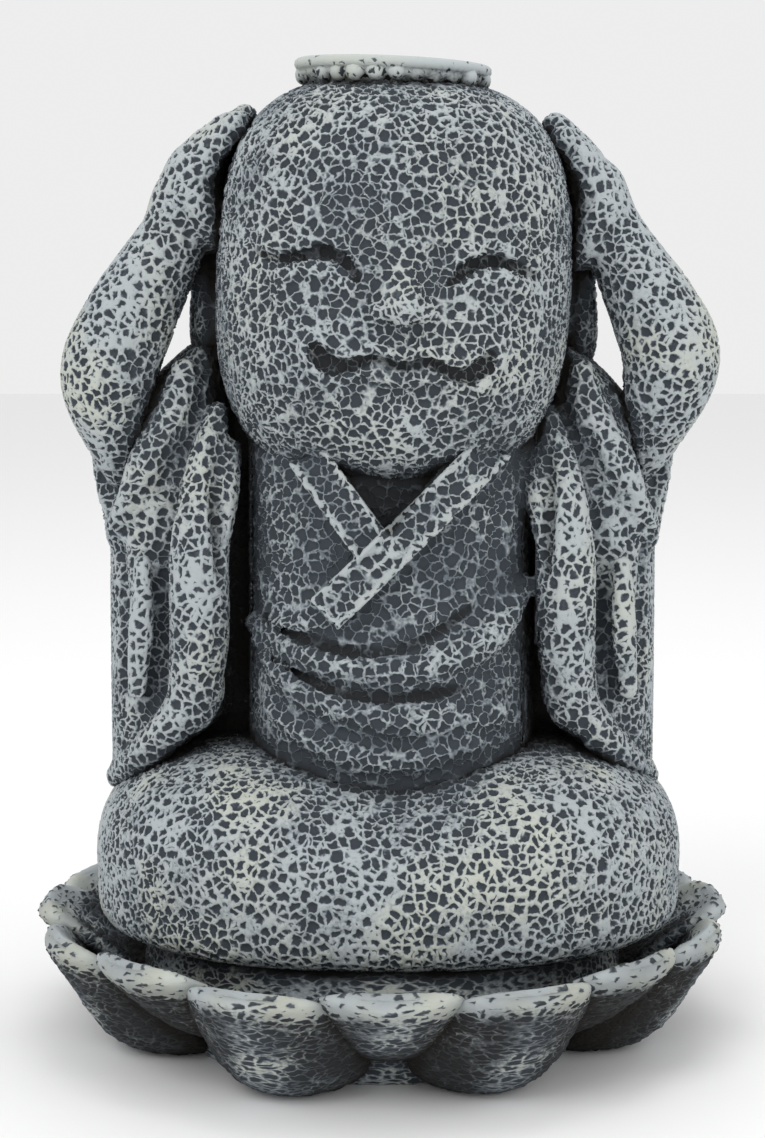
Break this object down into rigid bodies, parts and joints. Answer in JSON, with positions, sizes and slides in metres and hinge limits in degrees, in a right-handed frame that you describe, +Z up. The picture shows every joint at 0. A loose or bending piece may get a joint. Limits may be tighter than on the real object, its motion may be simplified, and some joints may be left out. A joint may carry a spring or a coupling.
{
  "type": "stone jizo statue",
  "caption": "Cast-stone garden statue of a smiling child monk seated on a lotus base, hands held flat to the head, with a shallow round dish on the crown.",
  "frame": {"origin": "centre of the bounding box on the ground plane, under the lotus base", "axes": "+Z up through the head, +X to the right as one faces the figure, the figure faces -Y"},
  "size_m": [0.1838, 0.1838, 0.25],
  "materials": {
    "cast_stone": "pitted cast stone, dark slate base with a pale dry-brushed surface, fully matt"
  },
  "bodies": {
    "root": {"jizo_statue": "cast_stone"}
  },
  "joints": []
}
